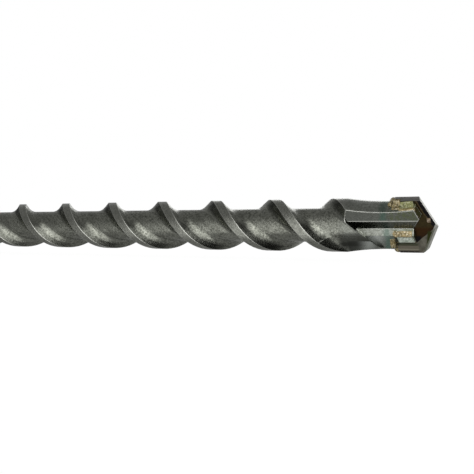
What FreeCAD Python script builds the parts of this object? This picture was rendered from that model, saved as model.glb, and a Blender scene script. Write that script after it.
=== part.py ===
import FreeCAD, Part

import math
import os

import Sketcher

# Hammer drill bit with a slotted 18 mm shank and one carbide plate, millimetres.
# The bit's axis is X: the shank's strike face is at X = 0 and the carbide point at +X.
# Someone who looks along +Y sees the point on the right. Z is up.
# A direction round the axis is an angle from +Y, turning towards +Z as a right-hand screw does.

doc = FreeCAD.newDocument("HammerDrillBit")
sheet = doc.addObject("Spreadsheet::Sheet", "Sizes")

SIZES = [
    # shank
    ("shank_dia", 18.0, "diameter that the chuck guides"),
    ("shank_length", 132.0, "strike face to the collar cone"),
    ("strike_chamfer", 2.2, "chamfer round the strike face, along the axis"),
    ("strike_chamfer_drop", 1.5, "the same chamfer, on the radius"),
    ("cone_length", 7.0, "collar cone between shank and neck"),
    ("neck_dia", 13.4, "neck behind the flutes"),
    ("neck_length", 25.4, "cone to the end of the flutes"),
    ("weld_offset", 12.0, "cone to the friction weld in the neck"),
    # open driving grooves and closed locking pockets
    ("groove_width", 4.0, "driving groove, across"),
    ("groove_depth", 2.6, "driving groove, below the shank's surface"),
    ("groove_length", 76.0, "driving groove at full depth"),
    ("groove_spread", 55.5, "angle between the paired grooves"),
    ("groove_corner", 0.9, "rounding of the groove's floor"),
    ("groove_disc_dia", 56.0, "disc cutter that leaves the groove's end"),
    ("pocket_width", 6.4, "locking pocket, across"),
    ("pocket_depth", 2.9, "locking pocket, below the shank's surface"),
    ("pocket_offset", 10.0, "strike face to a pocket"),
    ("pocket_length", 52.0, "locking pocket, end to end"),
    ("shank_turn", 30.25, "direction midway between the paired grooves"),
    # helix
    ("total_length", 340.0, "strike face to the carbide point"),
    ("flute_dia", 13.3, "over the lands"),
    ("root_dia", 8.5, "at the floor of the flutes"),
    ("lead", 35.2, "advance of a land in one turn"),
    ("land_width", 2.8, "top of a land, along the axis"),
    ("flank_run", 2.2, "flank of a land, along the axis"),
    ("flank_blend", 3.5, "rounding between flank and floor"),
    ("runout_width", 7.0, "round end of a flute on the neck, at its floor"),
    ("flute_end_turn", 104.0, "end of a flute's helix, turned past its land at the head"),
    ("flute_exit", 7.0, "straight run-out of a flute past the end of its helix"),
    ("flute_exit_step", 0.05, "how much less deep and wide that run-out is"),
    # steel head
    ("head_length", 21.9, "start of the straight head to the point"),
    ("head_dia", 12.4, "steel beside the carbide"),
    ("head_shoulder", 4.1, "point to the outer edge of the steel's front"),
    ("front_setback", 1.0, "point to the middle of the steel's front"),
    ("trailing_setback", 5.1, "point to the front of the steel behind a cutting edge"),
    ("leading_rise", 0.64, "slope at which the front of the steel before it stands above that"),
    ("waist_bend", 65.0, "radius of the head's waist along the axis"),
    ("head_turn", 118.4, "direction of the upper land and of the plate"),
    ("leading_wall", 1.87, "steel in front of the plate"),
    ("trailing_wall", 1.3, "steel behind the plate at the outer edge"),
    ("gullet_lead", 1.4, "start of a gullet in the plate's middle plane, before the head's start"),
    ("gullet_brow", 2.5, "plate's middle to the inner end of the leading flank"),
    ("gullet_web", 0.45, "gullet's deepest corner above the plate"),
    ("gullet_shift", 0.1, "the same corner past the plate's middle"),
    ("gullet_lean", 0.65, "slope of that start towards the point, outwards"),
    ("ridge_side", 1.65, "plate's middle to the ridge in a gullet's trailing face"),
    ("ridge_rise", 1.24, "that ridge above the plate"),
    ("bared_side", 4.15, "plate's middle to where its trailing face is bare"),
    ("gullet_slant", 1.11, "slope of the line where a gullet starts"),
    # carbide plate and its braze
    ("cutter_dia", 14.0, "drilled diameter"),
    ("plate_thickness", 2.4, "carbide plate"),
    ("plate_length", 9.8, "seat to point"),
    ("point_angle", 130.0, "roof-shaped point"),
    ("relief_angle", 20.0, "slope behind a cutting edge"),
    ("plate_corner", 0.6, "corners at the plate's inner end"),
    ("braze_gap", 0.12, "braze round the plate"),
    ("bead_dia", 1.8, "bead of braze at the plate's inner corners"),
    ("bead_sink", 0.3, "middle of a bead below the steel's surface"),
]
for row, (alias, size, note) in enumerate(SIZES, start=1):
    sheet.set(f"A{row}", alias)
    sheet.set(f"B{row}", str(size))
    sheet.set(f"C{row}", note)
    sheet.setAlias(f"B{row}", alias)
doc.recompute()

# Places along the axis, as expressions on the sheet.
CONE_END = "(Sizes.shank_length + Sizes.cone_length)"
WELD = f"({CONE_END} + Sizes.weld_offset)"
NECK_END = f"({CONE_END} + Sizes.neck_length)"
TIP = "Sizes.total_length"
HEAD = "(Sizes.total_length - Sizes.head_length)"
SHOULDER = "(Sizes.total_length - Sizes.head_shoulder)"
SEAT = "(Sizes.total_length - Sizes.plate_length)"
SLOT_END = f"({SEAT} - Sizes.braze_gap)"

# Directions, radii and helix geometry.
SEAM_TURN = "(Sizes.shank_turn + 90)"
LAND_R = "(Sizes.flute_dia / 2)"
ROOT_R = "(Sizes.root_dia / 2)"
HEAD_R = "(Sizes.head_dia / 2)"
FLOOR = "(Sizes.lead / 4 - Sizes.land_width / 2 - Sizes.flank_run)"
FLANK_SLOPE = f"(Sizes.flank_run / ({LAND_R} - {ROOT_R}))"
FLUTE_START = f"({NECK_END} + Sizes.runout_width / 2 + Sizes.flank_run)"
FLUTE_TURN = f"(Sizes.head_turn + ({FLUTE_START} - {HEAD}) * 360 / Sizes.lead)"
RIDGE = "(Sizes.plate_thickness / 2 + Sizes.ridge_rise)"
FLUTE_END = f"({HEAD} + (Sizes.flute_end_turn - 90) * Sizes.lead / 360)"
CLEAR = 1.3      # how far cutting shapes reach past the surface that they cut
FAR = 9.0        # past the largest radius of the head
HALVES = (("Upper", 0), ("Lower", 180))     # the head and the flutes repeat after half a turn

AXIS_X = FreeCAD.Vector(1, 0, 0)
AXIS_Y = FreeCAD.Vector(0, 1, 0)
AXIS_Z = FreeCAD.Vector(0, 0, 1)
ONTO_YZ = FreeCAD.Rotation(FreeCAD.Vector(1, 1, 1), 120)     # sketch x to Y, y to Z, normal to X
ONTO_XZ = FreeCAD.Rotation(AXIS_X, 90)                       # sketch x to X, y to Z, normal to -Y


def number(expression):
    """Value of an expression on the sheet."""
    result = sheet.evalExpression(str(expression))
    return float(getattr(result, "Value", result))


def bind(obj, **expressions):
    """Binds properties to expressions; two underscores in a name stand for a dot."""
    for name, expression in expressions.items():
        obj.setExpression(name.replace("__", "."), str(expression))


def pin_point(sketch, element, point, x, y):
    """Ties one point of a sketch to two expressions, measured from the origin."""
    for kind, axis, expression in (("DistanceX", -2, x), ("DistanceY", -1, y)):
        size = number(expression)
        if abs(size) < 1e-9:
            sketch.addConstraint(Sketcher.Constraint("PointOnObject", element, point, axis))
        elif size > 0:
            index = sketch.addConstraint(Sketcher.Constraint(kind, -1, 1, element, point, size))
            sketch.setExpression(f"Constraints[{index}]", str(expression))
        else:
            index = sketch.addConstraint(Sketcher.Constraint(kind, element, point, -1, 1, -size))
            sketch.setExpression(f"Constraints[{index}]", f"-({expression})")


def draw_outline(sketch, corners):
    """Closed outline of straight lines through corners given as pairs of expressions."""
    spots = [FreeCAD.Vector(number(x), number(y), 0) for x, y in corners]
    count = len(spots)
    for i in range(count):
        sketch.addGeometry(Part.LineSegment(spots[i], spots[(i + 1) % count]))
    for i in range(count):
        sketch.addConstraint(Sketcher.Constraint("Coincident", i, 2, (i + 1) % count, 1))
    for i, (x, y) in enumerate(corners):
        pin_point(sketch, i, 1, x, y)


def free_sketch(name, rotation, corners, x="0"):
    """Sketch that stands by itself, for an extrusion."""
    sketch = doc.addObject("Sketcher::SketchObject", name)
    sketch.Placement = FreeCAD.Placement(FreeCAD.Vector(number(x), 0, 0), rotation)
    bind(sketch, Placement__Base__x=x)
    draw_outline(sketch, corners)
    return sketch


def body_sketch(body, name, role):
    """Empty sketch on one of the body's own origin planes."""
    sketch = body.newObject("Sketcher::SketchObject", name)
    plane = next(item for item in body.Origin.OriginFeatures if item.Role == role)
    sketch.AttachmentSupport = [(plane, "")]
    sketch.MapMode = "FlatFace"
    return sketch


def extrude(name, sketch, direction, forward, turn=None, back="0"):
    """Extrusion of a sketch, turned about the bit's axis where a turn is given."""
    solid = doc.addObject("Part::Extrusion", name)
    solid.Base = sketch
    solid.DirMode = "Custom"
    solid.Dir = direction
    solid.Solid = True
    bind(solid, LengthFwd=forward, LengthRev=back)
    if turn is not None:
        solid.Placement = FreeCAD.Placement(FreeCAD.Vector(), FreeCAD.Rotation(AXIS_X, number(turn)))
        bind(solid, Placement__Rotation__Angle=turn)
    return solid


def turned(name, kind, x, y, z, turn, **sizes):
    """Part primitive placed in axes that are turned about the bit's axis."""
    solid = doc.addObject(kind, name)
    angle = number(turn)
    solid.Placement = FreeCAD.Placement(FreeCAD.Vector(), FreeCAD.Rotation(AXIS_X, angle))
    bind(
        solid,
        Placement__Rotation__Angle=turn,
        Placement__Base__x=x,
        Placement__Base__y=f"({y}) * cos({turn}) - ({z}) * sin({turn})",
        Placement__Base__z=f"({y}) * sin({turn}) + ({z}) * cos({turn})",
        **sizes,
    )
    return solid


def join(name, shapes):
    """Fuses several shapes."""
    solid = doc.addObject("Part::MultiFuse", name)
    solid.Shapes = shapes
    return solid


def cut(name, base, tool):
    """Takes one shape away from another."""
    solid = doc.addObject("Part::Cut", name)
    solid.Base = base
    solid.Tool = tool
    return solid


def common(name, shapes):
    """What several shapes share."""
    solid = doc.addObject("Part::MultiCommon", name)
    solid.Shapes = shapes
    return solid


def round_edges(name, base, radius, picks):
    """Fillets the edges of a shape that a test picks out."""
    doc.recompute()
    solid = doc.addObject("Part::Fillet", name)
    solid.Base = base
    chosen = [i + 1 for i, edge in enumerate(base.Shape.Edges) if picks(edge)]
    solid.Edges = [(index, number(radius), number(radius)) for index in chosen]
    return solid


def shank_blank():
    """Turned shank: chamfered strike face, guide cylinder, collar cone and the stub of the neck."""
    body = doc.addObject("PartDesign::Body", "ShankBlank")
    sketch = body_sketch(body, "ShankProfile", "XZ_Plane")
    draw_outline(sketch, [
        ("0", "0"),
        ("0", "Sizes.shank_dia / 2 - Sizes.strike_chamfer_drop"),
        ("Sizes.strike_chamfer", "Sizes.shank_dia / 2"),
        ("Sizes.shank_length", "Sizes.shank_dia / 2"),
        (CONE_END, "Sizes.neck_dia / 2"),
        (WELD, "Sizes.neck_dia / 2"),
        (WELD, "0"),
    ])
    turn = body.newObject("PartDesign::Revolution", "ShankTurning")
    turn.Profile = sketch
    turn.ReferenceAxis = (sketch, ["H_Axis"])
    turn.Angle = 360
    # the turned surface's seam runs along the single groove
    body.Placement = FreeCAD.Placement(FreeCAD.Vector(), FreeCAD.Rotation(AXIS_X, number(SEAM_TURN)))
    bind(body, Placement__Rotation__Angle=SEAM_TURN)
    return body


def drive_groove(name, turn):
    """Open groove with a rounded floor, and the end that a disc cutter leaves."""
    floor = "(Sizes.shank_dia / 2 - Sizes.groove_depth)"
    trough = turned(
        name + "Trough", "Part::Box", f"-{CLEAR}", "-Sizes.groove_width / 2", floor, turn,
        Length=f"Sizes.groove_length + {CLEAR}", Width="Sizes.groove_width",
        Height=f"Sizes.groove_depth + {CLEAR}",
    )
    low = number(floor)
    spin = FreeCAD.Rotation(AXIS_X, -number(turn))

    def runs_along_floor(edge):
        ends = [spin.multVec(vertex.Point) for vertex in edge.Vertexes]
        return edge.Length > number("Sizes.groove_length") and all(abs(p.z - low) < 1e-6 for p in ends)

    soft_trough = round_edges(name + "Soft", trough, "Sizes.groove_corner", runs_along_floor)
    disc = doc.addObject("Part::Cylinder", name + "Disc")
    lying = f"({turn} + 90)"
    disc.Placement = FreeCAD.Placement(FreeCAD.Vector(), FreeCAD.Rotation(AXIS_X, number(lying)))
    rise = f"({floor} + Sizes.groove_disc_dia / 2)"
    bind(
        disc,
        Radius="Sizes.groove_disc_dia / 2",
        Height="Sizes.groove_width",
        Placement__Rotation__Angle=lying,
        Placement__Base__x="Sizes.groove_length",
        Placement__Base__y=f"Sizes.groove_width / 2 * cos({turn}) - {rise} * sin({turn})",
        Placement__Base__z=f"Sizes.groove_width / 2 * sin({turn}) + {rise} * cos({turn})",
    )
    soft_disc = round_edges(name + "SoftDisc", disc, "Sizes.groove_corner",
                            lambda edge: "Circle" in edge.Curve.TypeId)
    return join(name, [soft_trough, soft_disc])


def locking_pocket(name, turn):
    """Closed pocket with round ends and a round floor, as a ball-nosed cutter leaves it."""
    nose = "(Sizes.pocket_width / 2)"
    centre = f"(Sizes.shank_dia / 2 - Sizes.pocket_depth + {nose})"
    trough = doc.addObject("Part::Cylinder", name + "Trough")
    trough.Placement = FreeCAD.Placement(FreeCAD.Vector(), FreeCAD.Rotation(AXIS_Y, 90))
    bind(
        trough,
        Radius=nose,
        Height=f"Sizes.pocket_length - 2 * {nose}",
        Placement__Base__x=f"Sizes.pocket_offset + {nose}",
        Placement__Base__y=f"-{centre} * sin({turn})",
        Placement__Base__z=f"{centre} * cos({turn})",
    )
    ends = []
    for place, x in (("Near", f"Sizes.pocket_offset + {nose}"),
                     ("Far", f"Sizes.pocket_offset + Sizes.pocket_length - {nose}")):
        ball = doc.addObject("Part::Sphere", name + place)
        bind(
            ball,
            Radius=nose,
            Placement__Base__x=x,
            Placement__Base__y=f"-{centre} * sin({turn})",
            Placement__Base__z=f"{centre} * cos({turn})",
        )
        ends.append(ball)
    return join(name, [trough] + ends)


def make_shank():
    """Shank with three open driving grooves and two closed locking pockets."""
    towards_pair = "Sizes.shank_turn - 90"       # a tool's own groove points along its z axis
    cutters = [
        drive_groove("PairLow", f"({towards_pair} - Sizes.groove_spread / 2)"),
        drive_groove("PairHigh", f"({towards_pair} + Sizes.groove_spread / 2)"),
        drive_groove("Single", f"({towards_pair} + 180)"),
        locking_pocket("PocketLow", f"({towards_pair} - 90)"),
        locking_pocket("PocketHigh", f"({towards_pair} + 90)"),
    ]
    shank = cut("Shank", shank_blank(), join("ShankCutters", cutters))
    shank.Label = "shank"
    return shank


def flute_blank():
    """Turned bar: neck, land diameter, waisted head and conical steel front."""
    body = doc.addObject("PartDesign::Body", "FluteBlank")
    sketch = body_sketch(body, "FluteProfile", "XZ_Plane")
    corners = [
        (WELD, "0"),
        (WELD, "Sizes.neck_dia / 2"),
        (HEAD, LAND_R),
        (SHOULDER, HEAD_R),
        (f"{TIP} - Sizes.front_setback", "0"),
    ]
    spots = [FreeCAD.Vector(number(x), number(y), 0) for x, y in corners]
    waist = 2
    chord = spots[3] - spots[2]
    bend = number("Sizes.waist_bend")
    sag = bend - math.sqrt(bend ** 2 - (chord.Length / 2) ** 2)
    across = FreeCAD.Vector(-chord.y, chord.x, 0).normalize()
    lowest = (spots[2] + spots[3]) * 0.5 - across * sag
    for i in range(len(spots)):
        first, last = spots[i], spots[(i + 1) % len(spots)]
        if i == waist:
            sketch.addGeometry(Part.Arc(first, lowest, last))
        else:
            sketch.addGeometry(Part.LineSegment(first, last))
    # the arc is stored turning left, so its end point meets the line before it
    sketch.addConstraint(Sketcher.Constraint("Coincident", 0, 2, 1, 1))
    sketch.addConstraint(Sketcher.Constraint("Coincident", 1, 2, 2, 1))
    sketch.addConstraint(Sketcher.Constraint("Coincident", 2, 2, 3, 1))
    sketch.addConstraint(Sketcher.Constraint("Coincident", 3, 2, 4, 1))
    sketch.addConstraint(Sketcher.Constraint("Coincident", 4, 2, 0, 1))
    for element, (x, y) in ((0, corners[0]), (1, corners[1]), (3, corners[3]), (4, corners[4])):
        pin_point(sketch, element, 1, x, y)
    pin_point(sketch, 1, 2, *corners[2])
    index = sketch.addConstraint(Sketcher.Constraint("Radius", waist, bend))
    sketch.setExpression(f"Constraints[{index}]", "Sizes.waist_bend")
    turn = body.newObject("PartDesign::Revolution", "FluteTurning")
    turn.Profile = sketch
    turn.ReferenceAxis = (sketch, ["H_Axis"])
    turn.Angle = 360
    return body


def draw_flute_section(sketch, middle, inset="0"):
    """Section of a flute: floor and two flanks with blends between them, open past the lands."""
    top = f"({LAND_R} + {CLEAR / 2})"
    floor_r = f"({ROOT_R} + {inset})"
    half_top = f"({FLOOR} + {FLANK_SLOPE} * ({top} - {ROOT_R}) - {inset})"
    low = number(floor_r)
    high = number(top)
    centre = number(middle)
    floor_half = number(f"{FLOOR} + ({FLANK_SLOPE} - 1) * {inset}")
    top_half = number(half_top)
    blend = number("Sizes.flank_blend")
    slope = math.atan2(top_half - floor_half, high - low)
    setback = blend * math.tan((math.pi / 2 - slope) / 2)

    def top_corner(side):
        return FreeCAD.Vector(centre + side * top_half, high, 0)

    def blend_points(side):
        corner = FreeCAD.Vector(centre + side * floor_half, low, 0)
        up = (top_corner(side) - corner).normalize()
        on_floor = corner - FreeCAD.Vector(side * setback, 0, 0)
        hub = on_floor + FreeCAD.Vector(0, blend, 0)
        return on_floor, hub + (corner - hub).normalize() * blend, corner + up * setback

    left, right = -1, 1
    l_floor, l_mid, l_flank = blend_points(left)
    r_floor, r_mid, r_flank = blend_points(right)
    sketch.addGeometry(Part.LineSegment(l_floor, r_floor))
    sketch.addGeometry(Part.Arc(r_floor, r_mid, r_flank))
    sketch.addGeometry(Part.LineSegment(r_flank, top_corner(right)))
    sketch.addGeometry(Part.LineSegment(top_corner(right), top_corner(left)))
    sketch.addGeometry(Part.LineSegment(top_corner(left), l_flank))
    sketch.addGeometry(Part.Arc(l_flank, l_mid, l_floor))
    for i in range(6):
        kind = "Coincident" if i in (2, 3) else "Tangent"
        sketch.addConstraint(Sketcher.Constraint(kind, i, 2, (i + 1) % 6, 1))
    for element in (1, 5):
        index = sketch.addConstraint(Sketcher.Constraint("Radius", element, blend))
        sketch.setExpression(f"Constraints[{index}]", "Sizes.flank_blend")
    pin_point(sketch, 3, 1, f"{middle} + {half_top}", top)
    pin_point(sketch, 3, 2, f"{middle} - {half_top}", top)
    sketch.addConstraint(Sketcher.Constraint("Horizontal", 0))
    height = sketch.addConstraint(Sketcher.Constraint("DistanceY", -1, 1, 0, 1, low))
    sketch.setExpression(f"Constraints[{height}]", floor_r)
    for element, sign in ((2, 1), (4, -1)):
        lean = sketch.addConstraint(Sketcher.Constraint("Angle", element, sign * (math.pi / 2 - slope)))
        sketch.setExpression(f"Constraints[{lean}]", f"{sign} * (90 deg - atan({FLANK_SLOPE}))")


def cut_flute(body, name, half_turn):
    """Helical flute from the neck to the head."""
    turn = f"({FLUTE_TURN} + {half_turn})"
    sketch = body_sketch(body, name + "Section", "XZ_Plane")
    sketch.AttachmentOffset = FreeCAD.Placement(FreeCAD.Vector(), FreeCAD.Rotation(AXIS_X, number(turn)))
    bind(sketch, AttachmentOffset__Rotation__Angle=turn)
    draw_flute_section(sketch, FLUTE_START)
    flute = body.newObject("PartDesign::SubtractiveHelix", name)
    flute.Profile = sketch
    flute.ReferenceAxis = (sketch, ["H_Axis"])
    flute.Mode = "pitch-height-angle"
    flute.LeftHanded = False
    bind(flute, Pitch="Sizes.lead", Height=f"{FLUTE_END} - {FLUTE_START}")
    body.Tip = flute


def flute_end(name, half_turn):
    """Round end of a flute on the neck: a blunt cone sunk along a radius."""
    turn = f"({FLUTE_TURN} + {half_turn})"
    top = f"({LAND_R} + {CLEAR})"
    cone = doc.addObject("Part::Cone", name)
    cone.Placement = FreeCAD.Placement(FreeCAD.Vector(), FreeCAD.Rotation(AXIS_X, number(turn)))
    bind(
        cone,
        Radius1="Sizes.runout_width / 2",
        Radius2=f"Sizes.runout_width / 2 + {FLANK_SLOPE} * ({top} - {ROOT_R})",
        Height=f"{top} - {ROOT_R}",
        Placement__Rotation__Angle=turn,
        Placement__Base__x=FLUTE_START,
        Placement__Base__y=f"-{ROOT_R} * sin({turn})",
        Placement__Base__z=f"{ROOT_R} * cos({turn})",
    )
    return cone


def flute_exit(name, half_turn):
    """Straight way out of a flute at the head, along the tangent of its helix."""
    sketch = doc.addObject("Sketcher::SketchObject", name + "Section")
    sketch.Placement = FreeCAD.Placement(FreeCAD.Vector(), ONTO_XZ)
    draw_flute_section(sketch, FLUTE_END, "Sizes.flute_exit_step")
    advance = f"Sizes.lead / (2 * pi * {LAND_R})"
    turn = f"(Sizes.head_turn + Sizes.flute_end_turn - 90 + {half_turn})"
    way_out = extrude(name, sketch, FreeCAD.Vector(number(advance), -1, 0), "Sizes.flute_exit", turn,
                      back=CLEAR / 2)
    bind(way_out, Dir__x=advance)
    return way_out


def gullets():
    """Two straight gullets beside the plate, each starting at a wall that slants and leans."""
    lead_face = "(Sizes.plate_thickness / 2 + Sizes.leading_wall)"
    trail_face = "(Sizes.plate_thickness / 2 + Sizes.trailing_wall)"
    deepest = "(Sizes.plate_thickness / 2 + Sizes.gullet_web)"
    begin = f"({HEAD} - Sizes.gullet_lead)"
    rise = f"(({trail_face} - {RIDGE}) / ({HEAD_R} - Sizes.ridge_side))"
    across = free_sketch("GulletSection", ONTO_YZ, [
        (FAR, lead_face),
        ("Sizes.gullet_brow", lead_face),
        ("-Sizes.gullet_shift", deepest),
        ("-Sizes.ridge_side", RIDGE),
        (f"-{FAR}", f"{RIDGE} + {rise} * ({FAR} - Sizes.ridge_side)"),
        (f"-{FAR}", FAR),
        (FAR, FAR),
    ], x=begin)
    along = free_sketch("GulletSide", FreeCAD.Rotation(), [
        (begin, FAR),
        (begin, "Sizes.gullet_brow"),
        (f"{begin} + Sizes.gullet_slant * (Sizes.gullet_brow + {FAR})", f"-{FAR}"),
        (f"{TIP} + {CLEAR}", f"-{FAR}"),
        (f"{TIP} + {CLEAR}", FAR),
    ])
    tools = []
    for name, half_turn in HALVES:
        turn = f"(Sizes.head_turn + {half_turn})"
        section = extrude("GulletBar" + name, across, AXIS_X, f"{TIP} + {CLEAR} - {begin}", turn)
        lean = FreeCAD.Vector(number("Sizes.gullet_lean"), 0, 1)
        side = extrude("GulletStart" + name, along, lean, f"{FAR} * sqrt(1 + Sizes.gullet_lean ^ 2)", turn)
        bind(side, Dir__x="Sizes.gullet_lean")
        tools.append(common("Gullet" + name, [section, side]))
    return tools


def bared_sides():
    """Bevels the steel away behind the plate's outer half, down to the plate's face."""
    face = "(Sizes.plate_thickness / 2)"
    across = free_sketch("BaredSection", ONTO_YZ, [
        ("-Sizes.ridge_side", RIDGE),
        ("-Sizes.bared_side", face),
        (f"-{FAR}", face),
        (f"-{FAR}", FAR),
        ("-Sizes.ridge_side", FAR),
    ], x=SLOT_END)
    return [extrude("Bared" + name, across, AXIS_X, f"{TIP} + {CLEAR} - {SLOT_END}",
                    f"(Sizes.head_turn + {half_turn})")
            for name, half_turn in HALVES]


def front_steps():
    """Sets back the steel's front behind each cutting edge, and slopes it up to the steel before it."""
    back = f"({TIP} - Sizes.trailing_setback)"
    ahead = f"({TIP} + {FAR})"
    side = free_sketch("FrontSide", FreeCAD.Rotation(), [
        (back, f"-{FAR}"),
        (back, "-Sizes.gullet_shift"),
        (f"{back} + Sizes.leading_rise * ({FAR} + Sizes.gullet_shift)", FAR),
        (ahead, FAR),
        (ahead, f"-{FAR}"),
    ])
    return [extrude("FrontStep" + name, side, AXIS_Z, FAR, f"(Sizes.head_turn + {half_turn})")
            for name, half_turn in HALVES]


def make_flute_body(slot):
    """Helix and head in one piece of steel, before and after the plate's slot is milled."""
    body = flute_blank()
    ends = []
    for name, half_turn in HALVES:
        cut_flute(body, "Flute" + name, half_turn)
        ends.append(flute_end("FluteEnd" + name, half_turn))
        ends.append(flute_exit("FluteExit" + name, half_turn))
    cutters = ends + gullets() + bared_sides() + front_steps()
    unslotted = cut("FluteUnslotted", body, join("FluteCutters", cutters))
    flute = cut("FluteBody", unslotted, slot)
    flute.Label = "flute_body"
    return flute, unslotted


def ground_away(name, turn):
    """All that lies above the ground face behind a cutting edge, which leans back through the plate."""
    fall = "tan(90 - Sizes.point_angle / 2)"
    above = free_sketch(name + "Side", FreeCAD.Rotation(), [
        (f"{TIP} + {FAR} * {fall}", f"-{FAR}"),
        (f"{TIP} - {FAR} * {fall}", FAR),
        (f"{TIP} + 2 * {FAR}", FAR),
        (f"{TIP} + 2 * {FAR}", f"-{FAR}"),
    ])
    climb = FreeCAD.Vector(math.tan(math.radians(number("Sizes.relief_angle"))), 0, 1)
    reach = "Sizes.plate_thickness / cos(Sizes.relief_angle)"
    solid = extrude(name, above, climb, reach, turn, back=reach)
    bind(solid, Dir__x="tan(Sizes.relief_angle)")
    return solid


def make_plate():
    """Carbide plate with a roof-shaped point, relieved behind each cutting edge."""
    half = "Sizes.cutter_dia / 2"
    half_thick = "Sizes.plate_thickness / 2"
    above = f"({TIP} + {CLEAR})"
    side = free_sketch("PlateSide", FreeCAD.Rotation(), [
        (SEAT, f"-{half} + Sizes.plate_corner"),
        (f"{SEAT} + Sizes.plate_corner", f"-{half}"),
        (above, f"-{half}"),
        (above, half),
        (f"{SEAT} + Sizes.plate_corner", half),
        (SEAT, f"{half} - Sizes.plate_corner"),
    ])
    blank = extrude("PlateBlank", side, AXIS_Z, half_thick, "Sizes.head_turn", back=half_thick)
    barrel = doc.addObject("Part::Cylinder", "PlateBarrel")
    barrel.Placement = FreeCAD.Placement(FreeCAD.Vector(), FreeCAD.Rotation(AXIS_Y, 90))
    bind(barrel, Radius=half, Height=f"{above} - {SEAT}", Placement__Base__x=SEAT)
    rounded = common("PlateRound", [blank, barrel])
    ground = [ground_away("Relief" + name, f"(Sizes.head_turn + {half_turn})") for name, half_turn in HALVES]
    plate = cut("CutterPlate", rounded, join("PlateGround", ground))
    plate.Label = "cutter_plate"
    return plate, rounded


def make_braze(slot, unslotted, flute, plate_round):
    """Braze foil that fills the slot round the plate, and a bead at each inner corner."""
    fill = common("SlotFill", [unslotted, slot])
    foil = cut("BrazeFoil", fill, plate_round)
    foil.Label = "braze_foil"
    beads = []
    for name, side in (("BeadUpper", 1), ("BeadLower", -1)):
        bead = turned(
            name, "Part::Cylinder", SEAT, f"{side} * ({HEAD_R} - Sizes.bead_sink)", "-Sizes.plate_thickness / 2",
            "Sizes.head_turn", Radius="Sizes.bead_dia / 2", Height="Sizes.plate_thickness",
        )
        beads.append(bead)
    proud = cut("BeadsProud", join("BeadPair", beads), join("BeadSeat", [unslotted, plate_round]))
    proud.Label = "braze_beads"
    return foil, proud


def check_and_write(pieces):
    """Stops on a failed feature or a bad solid, and writes one STEP file for each sub-part."""
    doc.recompute()
    for obj in doc.Objects:
        if "Invalid" in obj.State or "Error" in obj.State:
            raise RuntimeError(f"{obj.Name} did not build: {obj.State}")
    os.makedirs("parts", exist_ok=True)
    for piece in pieces:
        shape = piece.Shape
        if shape.isNull() or not shape.isValid() or not shape.Solids:
            raise RuntimeError(f"{piece.Label} is not a valid solid")
        shape.exportStep(f"parts/{piece.Label}.step")
        print(piece.Label, "solids", len(shape.Solids), "volume", round(shape.Volume, 1))


def main():
    """Builds every sub-part of the bit."""
    shank = make_shank()
    slot = turned(
        "PlateSlot", "Part::Box", SLOT_END, f"-{FAR}",
        "-(Sizes.plate_thickness / 2 + Sizes.braze_gap)", "Sizes.head_turn",
        Length=f"Sizes.plate_length + {CLEAR}", Width=f"2 * {FAR}",
        Height="Sizes.plate_thickness + 2 * Sizes.braze_gap",
    )
    flute, unslotted = make_flute_body(slot)
    plate, plate_round = make_plate()
    foil, beads = make_braze(slot, unslotted, flute, plate_round)
    check_and_write([shank, flute, plate, foil, beads])


main()
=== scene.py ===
import math
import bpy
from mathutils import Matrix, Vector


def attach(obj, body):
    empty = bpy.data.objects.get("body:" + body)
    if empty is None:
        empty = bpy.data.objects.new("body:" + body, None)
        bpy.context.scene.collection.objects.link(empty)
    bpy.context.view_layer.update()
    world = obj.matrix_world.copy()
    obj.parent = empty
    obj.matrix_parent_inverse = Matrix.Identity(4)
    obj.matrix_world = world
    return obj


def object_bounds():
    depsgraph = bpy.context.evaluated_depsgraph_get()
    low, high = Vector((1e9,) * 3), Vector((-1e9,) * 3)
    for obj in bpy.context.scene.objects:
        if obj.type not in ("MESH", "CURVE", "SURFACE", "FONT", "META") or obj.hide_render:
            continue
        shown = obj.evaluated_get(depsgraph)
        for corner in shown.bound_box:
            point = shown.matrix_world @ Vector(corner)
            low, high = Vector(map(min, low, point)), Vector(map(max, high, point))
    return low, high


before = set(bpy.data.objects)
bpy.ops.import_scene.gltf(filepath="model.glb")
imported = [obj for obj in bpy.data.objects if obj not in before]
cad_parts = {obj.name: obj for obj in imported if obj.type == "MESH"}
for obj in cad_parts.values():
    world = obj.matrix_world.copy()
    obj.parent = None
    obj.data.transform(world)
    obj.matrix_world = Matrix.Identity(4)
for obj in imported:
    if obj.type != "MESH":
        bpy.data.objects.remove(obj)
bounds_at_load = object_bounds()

from types import SimpleNamespace

import bmesh
import bpy
from mathutils import Matrix, Vector, noise

# The bit's axis is X, and its strike face is at X = 0. Places and sizes on the bit are in millimetres. The
# two that are read from the frame are rounded to a thousandth.
MM = 0.001

# Places along the axis.
CHAMFER_END = 2.2
CONE_START = 132.0
CONE_END = 139.0
NECK_END = 164.4
POINT = round(bounds_at_load[1][0] / MM, 3)
HEAD_START = POINT - 21.9
SEAT = POINT - 9.8                  # inner end of the carbide plate
SHOULDER = POINT - 4.1              # outer edge of the steel's front

# Radii of the shank, the lands, the head's steel and the carbide plate.
SHANK_R = round(bounds_at_load[1][2] / MM, 3)
LAND_R = 6.65
HEAD_R = 6.2
PLATE_R = 7.0
WAIST = 0.61                        # how far the head's outside sinks in between its ends

LEAD = 35.2                         # advance of a flute in one turn

# The plate lies in a plane through the axis. "Across" is measured in that plane, square to the axis, and
# "through" square to the plane. The two halves of the head are alike and share these measures.
PLATE_TURN = math.radians(118.4)    # direction of the plate round the axis, from +Y towards +Z
PLATE_HALF = 1.2                    # half the plate's thickness
RIDGE_ACROSS = -1.65                # ridge in the face behind the gullet
RIDGE_THROUGH = 2.44
BEVEL_SLOPE = 0.49                  # of the steel that falls from the ridge to the plate's bare face

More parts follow.
